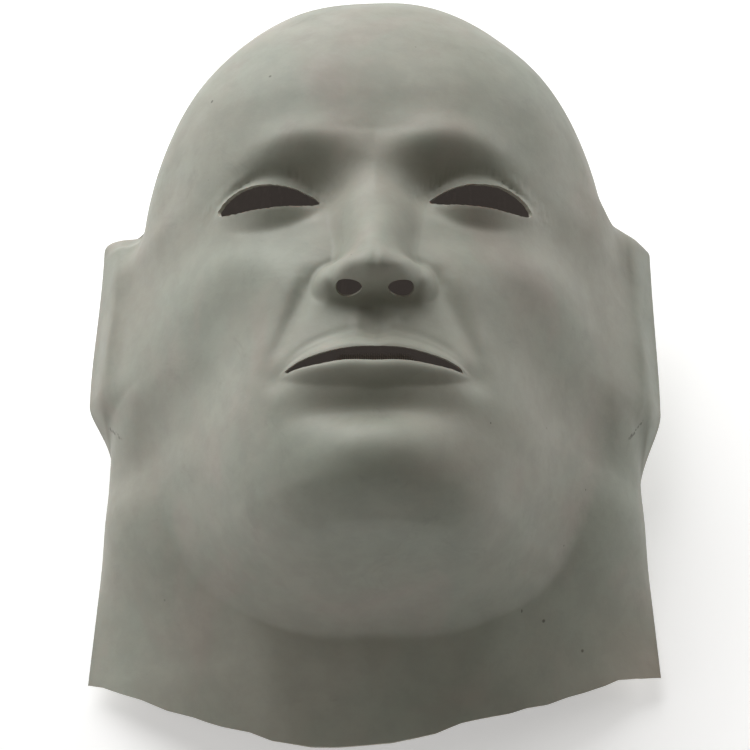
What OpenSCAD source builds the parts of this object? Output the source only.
// Overhead latex mask of a bald head, lying on its back.
// +Z points out of the face, +Y to the crown, and the table is z = 0.

/* [Overall size] */
// Width across the ear lobes
mask_w = 206; // [194:1:216]
// Length from the crown to the lowest point of the throat hem
mask_len = 262; // [252:1:276]
// Height of the nose tip above the table
mask_h = 134; // [126:1:140]
// Thickness of the latex skin
skin = 2; // [1.6:0.1:2.4]

/* [Nape flaps] */
// Width of the slit between the two flaps
slit_w = 1; // [0.8:0.1:1.6]
// Y of the slit's upper end, in the rear of the head
slit_top_y = 6; // [0:1:12]
// Y of the upper edge of the flaps
flap_top_y = -44; // [-45:1:-43]
// Gap round each flap
flap_gap = 0.4; // [0.3:0.1:0.6]

/* [Holes] */
// Distance between the centres of the eye holes
eye_pitch = 66; // [62:1:70]
// Length of an eye hole
eye_l = 30; // [26:1:34]
// Height of an eye hole
eye_h = 12; // [10:1:14]
// Length of the mouth slit
mouth_l = 52; // [46:1:56]
// Height of the mouth slit at its middle
mouth_h = 5.2; // [5:0.1:6]
// Diameter of a nostril
nostril_d = 7; // [6:0.5:8]

/* [Inside pieces] */
// Width and height of the gauze patch over the slit's end
patch_size = [34, 26]; // [20:1:50]
// Thickness of the gauze patch
patch_t = 0.6; // [0.5:0.1:1]
// Width and height of the size label
label_size = [28, 18]; // [12:1:40]
// Thickness of the size label
label_t = 0.5; // [0.4:0.1:0.8]
// Y of the size label's middle
label_y = -85; // [-90:1:-60]

/* [Mesh] */
// Columns of facets across the face
face_cols = 38; // [24:2:44]
// Rows of facets from hem to crown, shared by the face and the rear of the head
face_rows = 50; // [32:2:54]
// Columns of facets across the rear of the head
rear_cols = 24; // [16:2:32]

/* [Hidden] */

// The curves below are drawn for a head this size, and stretched to the mask's size.
drawn_w = 196;
drawn_h = 141;
crown_y = 150;
pole_y = crown_y - 0.4;
hem_y = -140;
drawn_len = pole_y - hem_y;
drawn_middle_y = (pole_y + hem_y) / 2;
stretch = [mask_w / drawn_w, mask_len / drawn_len, mask_h / drawn_h];
dome_start_y = 40;
dome_half_w = 81.5;
latex = [0.66, 0.66, 0.61];

// Half width of the head without its ears, along Y, with straight sides on the neck
NECK_CORNER = [-113, 92.9];
NECK_TOP = [-44, 91.4];
neck_slope = (NECK_CORNER[1] - NECK_TOP[1]) / (NECK_TOP[0] - NECK_CORNER[0]);
HEAD_HALF_W = [
    [hem_y, NECK_CORNER[1] + (NECK_CORNER[0] - hem_y) * neck_slope],
    NECK_TOP + [-8, 8 * neck_slope], NECK_TOP,
    [-20, 89], [5, 84], [30, 81], [40, 81.5]
];
// Height of the side fold, where the front and the rear of the mask meet
FOLD_Z = [[-140, 9], [-44, 9], [-15, 27], [30, 37], [62, 44], [110, 54], [150, 62]];
// Rise of the neck, cheeks and skull from the fold to the middle
SKULL_RISE = [
    [-140, 12], [-126, 22], [-112, 33], [-95, 45], [-70, 55], [-40, 58], [-10, 62], [20, 68],
    [45, 76], [70, 78], [95, 71], [120, 57], [135, 43], [145, 27], [150, 0]
];
// Height of the middle of the face, without its features
FACE_Z = [
    [-150, -60], [-112, 0], [-102, 52], [-95, 84], [-88, 104], [-78, 115], [-62, 119], [-40, 120.5],
    [0, 119.5], [20, 118], [40, 119], [60, 122.5], [80, 121], [100, 114], [120, 98], [150, 40]
];
// Half width over which the face falls by FACE_FALL
FACE_HALF_W = [
    [-150, 34], [-112, 36], [-95, 44], [-80, 52], [-62, 60], [-45, 66], [-20, 71], [0, 74],
    [30, 76], [60, 75], [90, 72], [120, 60], [150, 40]
];
FACE_FALL = [[-150, 60], [-95, 64], [-60, 70], [-30, 74], [0, 72], [40, 64], [80, 56], [120, 40], [150, 40]];
// Depth of the rear of the mask below the fold, before the table flattens it
REAR_DEPTH = [
    [-140, 22], [-44, 24], [-15, 45], [30, 58], [70, 60], [110, 56], [135, 42], [147, 20], [150, 0]
];
// Height of the ridge of the nose, and its half widths at the ridge and the foot
NOSE_RIDGE = [
    [-19, 0], [-17, 2.5], [-15, 9.5], [-12.5, 17], [-9, 20.5], [-4, 21], [4, 17.6], [14, 12.6],
    [24, 8.2], [33, 4.6], [42, 1.6], [52, 0]
];
NOSE_TOP_HALF_W = [[-19, 2.2], [-5, 3.1], [14, 1.9], [28, 2.1], [52, 4.5]];
NOSE_FOOT_HALF_W = [[-19, 13], [-12, 14.5], [4, 13.5], [14, 15], [28, 16], [40, 18], [52, 22]];
nose_lean = 0.22;

// Ear lobe: a flat tab that the mask's side folds press out
ear_top_y = 60;
ear_bottom_y = -14;
ear_front = 8;
ear_rear = 5;

// Places of the holes on the drawn head
eye_y = 30;
mouth_y = -39.5;
mouth_droop = 2;
nostril_middle = [7.6, -19, 128.5];

// The flaps turn about the straight side folds of the neck, and their upper edges are square to them
fold_slope = neck_slope * stretch[0] / stretch[1];
function flap_edge_y(x) = drawn_y(flap_top_y + (abs(x) - NECK_TOP[1]) * stretch[0] * fold_slope);
function drawn_y(y) = y / stretch[1] + drawn_middle_y;

// ---- Curves ----

function clamp(t, low, high) = min(high, max(low, t));
function ease(a, b, t) = let (s = clamp((t - a) / (b - a), 0, 1)) s * s * (3 - 2 * s);
function soft_max(a, b, k) =
    let (h = clamp(0.5 + 0.5 * (a - b) / k, 0, 1)) b + (a - b) * h + k * h * (1 - h);
function hill(x, y, cx, cy, rx, ry, power = 1) =
    exp(-pow(pow((abs(x) - cx) / rx, 2) + pow((y - cy) / ry, 2), power));

// Smooth curve through a list of [position, value], which never overshoots
function slope(list, i) = (list[i + 1][1] - list[i][1]) / (list[i + 1][0] - list[i][0]);
function tangent(list, i) =
    i == 0 ? slope(list, 0)
    : i == len(list) - 1 ? slope(list, i - 1)
    : let (a = slope(list, i - 1), b = slope(list, i)) a * b <= 0 ? 0 : 2 * a * b / (a + b);
function span_of(list, t, i = 0) = i >= len(list) - 2 || t < list[i + 1][0] ? i : span_of(list, t, i + 1);
function curve(list, t) =
    let (
        at = clamp(t, list[0][0], list[len(list) - 1][0]),
        i = span_of(list, at),
        step = list[i + 1][0] - list[i][0],
        s = (at - list[i][0]) / step
    )
    list[i][1] * (1 + 2 * s) * pow(1 - s, 2) + tangent(list, i) * step * s * pow(1 - s, 2)
    + list[i + 1][1] * s * s * (3 - 2 * s) + tangent(list, i + 1) * step * s * s * (s - 1);

// ---- Outline of the head, seen from the front ----

function ear(y) = ease(ear_top_y + 3, ear_top_y - 2, y) * ease(ear_bottom_y - 8, ear_bottom_y + 8, y);
function dome_w(y) = dome_half_w * sqrt(max(0, 1 - pow((y - dome_start_y) / (crown_y - dome_start_y), 2)));
function head_w(y) = y > dome_start_y ? dome_w(y) : curve(HEAD_HALF_W, y);
function outline_w(y) = let (w = head_w(y)) w + (drawn_w / 2 - w) * ear(y);
function across(x) = min(1, abs(x) / NECK_CORNER[1]);
function front_hem_y(x) =
    let (wave = 0.6 * (1 - cos(x * 9)) * (1 - across(x)))
    hem_y + (NECK_CORNER[0] - hem_y) * ease(0, 1, pow(across(x), 1.2)) + wave;
function rear_hem_y(x) = NECK_CORNER[0] + 5 * (1 - pow(across(x), 3));

// ---- Relief of the face ----

function nose(x, y) =
    let (
        top = curve(NOSE_TOP_HALF_W, y),
        s = clamp((abs(x) - top) / (curve(NOSE_FOOT_HALF_W, y) - top), 0, 1)
    )
    curve(NOSE_RIDGE, y) * (1 - s * s * (3 - 2 * s)) + 8.6 * hill(x, y, 12.4, -10.6, 6.6, 7.4, 1.6);
function brow_and_eyes(x, y) =
    3.4 * exp(-pow((abs(x) - 24) / 20, 2) - pow((y - 50 + 0.01 * pow(abs(x) - 22, 2)) / 8, 2))
    - 8 * hill(x, y, 27, 36, 16, 9)
    - 4.5 * hill(x, y, 15.5, 33, 8, 10)
    + 7.4 * hill(x, y, 33, 29.5, 14.5, 10, 1.25)
    - 4 * hill(x, y, 70, 62, 14, 20);
function cheeks(x, y) =
    5.2 * hill(x, y, 50, 6, 18, 15)
    - 3 * hill(x, y, 50, -30, 13, 20)
    + 2.5 * hill(x, y, 24, -6, 12, 14);
function mouth_and_chin(x, y) =
    4.2 * hill(x, y, 0, -36, 27, 19)
    + 2.2 * hill(x, y, 7, -33, 13, 3.6)
    + 3.2 * hill(x, y, 0, -45.2, 16, 4.4)
    - 2.8 * hill(x, y, 0, mouth_y, 25, 2.3, 1.3)
    - 3.6 * hill(x, y, 0, -55.5, 19, 5.2)
    + 5.6 * hill(x, y, 0, -72, 17, 11, 1.1);
function relief(x, y) = nose(x, y) + brow_and_eyes(x, y) + cheeks(x, y) + mouth_and_chin(x, y);

// ---- Heights of the front and the rear, on the drawn head ----

// Cross-section from 1 in the middle to 0 at the fold: round on the head, and a flat lens at the hem
function arch(x, y) =
    let (flat = ease(-50, -112, y), n = clamp(abs(x) / max(head_w(y), 0.001), 0, 1))
    pow(1 - pow(n, 2.6 - 0.6 * flat), 0.5 + 0.35 * flat);
// Thickness of the ear's tab, from 1 to 0 at its rim, and how softly it runs into the head
function ear_tab(x, y) =
    let (n = min(1, abs(x) / outline_w(y)), full = min(1, 8 * ear(y)))
    [full * sqrt(max(0, 1 - pow(n, 14))), 4 * full * min(1, (1 - n) * 16) + 0.01];
function front_z(x, y) =
    let (
        w = head_w(y),
        fold = curve(FOLD_Z, y),
        skull = fold + curve(SKULL_RISE, y) * arch(x, y),
        face = curve(FACE_Z, y) - curve(FACE_FALL, y) * pow(abs(x) / curve(FACE_HALF_W, y), 3),
        head = soft_max(skull, max(face, -80), 14) + relief(x, y) * ease(0.98, 0.8, abs(x) / max(w, 1)),
        tab = ear_tab(x, y)
    )
    ear(y) < 0.001 ? head : soft_max(head, fold + ear_front * tab[0], tab[1]);
function rear_z(x, y) =
    let (
        fold = curve(FOLD_Z, y),
        head = soft_max(fold - curve(REAR_DEPTH, y) * arch(x, y), 0, 8),
        tab = ear_tab(x, y)
    )
    ear(y) < 0.001 ? head : -soft_max(-head, ear_rear * tab[0] - fold, tab[1]);

// ---- Grids of points, at the mask's size ----

// Y of the grid's rows, closer together where the middle of the face or the outline is steep
row_samples = 300;
ROW_TABLE = [
    for (i = 0, s = 0, y = hem_y, z = front_z(0, y), w = outline_w(y); i <= row_samples;
        i = i + 1,
        next_y = hem_y + (pole_y - hem_y) * i / row_samples,
        next_z = front_z(0, next_y),
        next_w = outline_w(next_y),
        s = s + norm([next_y - y, 0.6 * (next_z - z), 0.6 * (next_w - w)]),
        y = next_y,
        z = next_z,
        w = next_w)
    [s, y]
];
row_length = ROW_TABLE[row_samples][0];
ROW_Y = [for (r = [0 : face_rows]) r == face_rows ? pole_y : lookup(r / face_rows * row_length, ROW_TABLE)];

// Above this height the rows of the rear of the head are level
rear_even_y = -20;

// Pull the rows of the neck in to a hem that isn't level
hem_blend_y = -95;
function to_hem(y, hem) =
    y > hem_blend_y ? y : hem_blend_y + (y - hem_blend_y) * (hem_blend_y - hem) / (hem_blend_y - hem_y);
function column_x(s, y) =
    let (w = head_w(y)) w * sin(90 * s) + sign(s) * (outline_w(y) - w) * ease(0.62, 0.95, abs(s));
function real_size(p) = [p[0] * stretch[0], (p[1] - drawn_middle_y) * stretch[1], p[2] * stretch[2]];

function front_point(s, row_y) =
    let (
        y = to_hem(row_y, front_hem_y(column_x(s, row_y))),
        x = column_x(s, y),
        on_fold = abs(s) > 0.999 || row_y >= pole_y - 0.001
    )
    real_size([x, y - nose_lean * nose(x, y), on_fold ? curve(FOLD_Z, y) : front_z(x, y)]);
function rear_point(x, y, on_fold) = real_size([x, y, on_fold ? curve(FOLD_Z, y) : rear_z(x, y)]);

// ---- Skins: a grid of outer points, and the same grid moved inwards ----

function unit(v) = v / norm(v);
// Outward direction of the head's outline, at a point of a grid's side
function outline_normal(grid, r, c) =
    let (along = grid[min(r + 1, len(grid) - 1)][c] - grid[max(r - 1, 0)][c])
    unit([abs(along[1]), -along[0] * sign(grid[r][c][0]), 0]);
function side_normal(grid, r, c) =
    let (n = outline_normal(grid, r, c)) [n[0] * sign(grid[r][c][0]), n[1], 0];
function surface_normal(grid, r, c) =
    cross(
        grid[r][min(c + 1, len(grid[r]) - 1)] - grid[r][max(c - 1, 0)],
        grid[min(r + 1, len(grid) - 1)][c] - grid[max(r - 1, 0)][c]
    );
// The outer sides lie on the fold, the last row does at the crown, and other edges are cut square to Y
function grid_normal(grid, r, c, folds, has_pole) =
    let (
        last = len(grid) - 1,
        across = grid[last][c][0] / max(0.001, abs(grid[last][0][0])),
        n = surface_normal(grid, r, c)
    )
    has_pole && r == last ? unit([0.4 * across, 1, 0])
    : len(search(c, folds)) > 0 ? side_normal(grid, r, c)
    : r == 0 || r == last ? unit([n[0], 0, n[2]])
    : unit(n);

// The inner point stays on its own side of the fold, so that the front and the rear never cross
function inner_point(grid, r, c, folds, has_pole, is_front) =
    let (
        edge = grid[r][folds[0]],
        outer = grid[r][c],
        p = outer - skin * grid_normal(grid, r, c, folds, has_pole),
        x = min(abs(p[0]), abs(outer[0]) * (1 - skin / abs(edge[0]))),
        z = is_front ? max(p[2], edge[2]) : min(p[2], edge[2])
    )
    [sign(outer[0]) * x, p[1], z];

function quad(a, b, c, d) = [[a, b, c], [a, c, d]];
module skin_of(grid, folds, has_pole, is_front) {
    rows = len(grid);
    cols = len(grid[0]);
    count = rows * cols;
    inner = [
        for (r = [0 : rows - 1]) for (c = [0 : cols - 1])
            inner_point(grid, r, c, folds, has_pole, is_front)
    ];
    outer_faces = [
        for (r = [0 : rows - 2]) for (c = [0 : cols - 2])
            let (i = r * cols + c) each quad(i, i + cols, i + cols + 1, i + 1)
    ];
    inner_faces = [for (f = outer_faces) [f[0] + count, f[2] + count, f[1] + count]];
    rim = concat(
        [for (c = [0 : cols - 1]) c],
        [for (r = [1 : rows - 1]) r * cols + cols - 1],
        [for (c = [cols - 2 : -1 : 0]) (rows - 1) * cols + c],
        [for (r = [rows - 2 : -1 : 1]) r * cols]
    );
    rim_faces = [
        for (k = [0 : len(rim) - 1])
            let (a = rim[k], b = rim[(k + 1) % len(rim)]) each quad(a, b, b + count, a + count)
    ];
    polyhedron(
        concat([for (row = grid) each row], inner),
        concat(outer_faces, inner_faces, rim_faces),
        convexity = 8
    );
}

// ---- Cutters for the holes, each a chain of short hulls ----

module eye_cutter(side) {
    steps = 3;
    for (i = [0 : steps - 1])
        hull()
            for (k = [i, i + 1]) {
                t = -1 + 2 * k / steps;
                d = eye_h * (1 - 0.55 * t * t);
                translate([
                    side * (eye_pitch / 2 + t * (eye_l - eye_h / 2) / 2), real_size([0, eye_y, 0])[1], 60
                ])
                    cylinder(d = d, h = 100, $fn = 16);
            }
}

module mouth_cutter() {
    steps = 6;
    for (i = [0 : steps - 1])
        hull()
            for (k = [i, i + 1]) {
                t = -1 + 2 * k / steps;
                d = mouth_h * (1 - 0.65 * t * t);
                translate([t * (mouth_l - d) / 2, real_size([0, mouth_y, 0])[1] - mouth_droop * t * t, 60])
                    cylinder(d = d, h = 100, $fn = 12);
            }
}

module nostril_cutter(side) {
    middle = real_size(nostril_middle);
    translate([side * middle[0], middle[1], middle[2]])
        rotate([90, 0, 0])
            scale([0.9, 1, 1])
                cylinder(d = nostril_d, h = 20, center = true, $fn = 16);
}

module slit_cutter() {
    steps = 8;
    for (i = [0 : steps - 1])
        hull()
            for (k = [i, i + 1])
                translate([0, flap_top_y - 6 + (slit_top_y - flap_top_y + 6) * k / steps, -1])
                    cylinder(d = k == steps ? 2 * slit_w : slit_w, h = 20, $fn = 12);
}

// ---- Pieces ----

// Front half of the casting: face, front of the skull, ears and throat
module face_skin() {
    grid = [for (y = ROW_Y) [for (c = [0 : face_cols]) front_point(-1 + 2 * c / face_cols, y)]];
    color(latex)
        difference() {
            skin_of(grid, [0, face_cols], true, true);
            for (side = [-1, 1]) {
                eye_cutter(side);
                nostril_cutter(side);
            }
            mouth_cutter();
        }
}

// Rear of the skull above the flaps, with the upper part of the slit
module crown_skin() {
    fold_top_y = drawn_y(flap_top_y);
    rows = concat([fold_top_y], [for (y = ROW_Y) if (y > fold_top_y + 2) y]);
    grid = [
        for (row_y = rows)
            [
                for (c = [0 : rear_cols])
                    let (
                        s = 1 - 2 * c / rear_cols,
                        x = column_x(s, row_y),
                        low_y = flap_edge_y(x) + flap_gap / 2 / stretch[1],
                        y = row_y > rear_even_y ? row_y
                            : rear_even_y + (row_y - rear_even_y)
                                * (low_y - rear_even_y) / (fold_top_y - rear_even_y)
                    )
                    rear_point(column_x(s, y), y, abs(s) > 0.999 || row_y == pole_y)
            ]
    ];
    color(latex)
        difference() {
            skin_of(grid, [0, rear_cols], true, false);
            slit_cutter();
        }
}

// One half of the rear of the neck, from the slit to the side fold
module nape_flap(side) {
    cols = 12;
    rows = 8;
    fold_drop = flap_gap / stretch[2];
    edge_x = slit_w / 2 / stretch[0];
    grid = [
        for (r = [0 : rows])
            [
                for (c = [0 : cols])
                    let (
                        t = sin(90 * (side > 0 ? 1 - c / cols : c / cols)),
                        level_x = edge_x + (NECK_CORNER[1] - edge_x) * t,
                        top_y = flap_edge_y(level_x) - flap_gap / 2 / stretch[1],
                        y = rear_hem_y(level_x) + (top_y - rear_hem_y(level_x)) * r / rows,
                        x = edge_x + (head_w(y) - edge_x) * t,
                        z = min(rear_z(x, y), curve(FOLD_Z, y) - fold_drop)
                    )
                    real_size([side * x, y, z])
            ]
    ];
    color(latex)
        skin_of(grid, side > 0 ? [0] : [cols], false, false);
}

module nape_flap_left() {
    nape_flap(-1);
}

module nape_flap_right() {
    nape_flap(1);
}

module rounded_sheet(size, thickness, corner) {
    linear_extrude(thickness)
        offset(corner)
            square(size - [2 * corner, 2 * corner], center = true);
}

// Gauze glued inside over the slit's end, so that the latex doesn't tear further
module slit_end_patch() {
    color([0.8, 0.78, 0.72])
        translate([0, slit_top_y + patch_size[1] / 4, skin])
            rounded_sheet(patch_size, patch_t, 5);
}

// Blank label glued inside the right flap, near the hem
module size_label() {
    color([0.9, 0.9, 0.88])
        translate([mask_w / 6, label_y, skin])
            rounded_sheet(label_size, label_t, 1.5);
}

face_skin();
crown_skin();
nape_flap_left();
nape_flap_right();
slit_end_patch();
size_label();
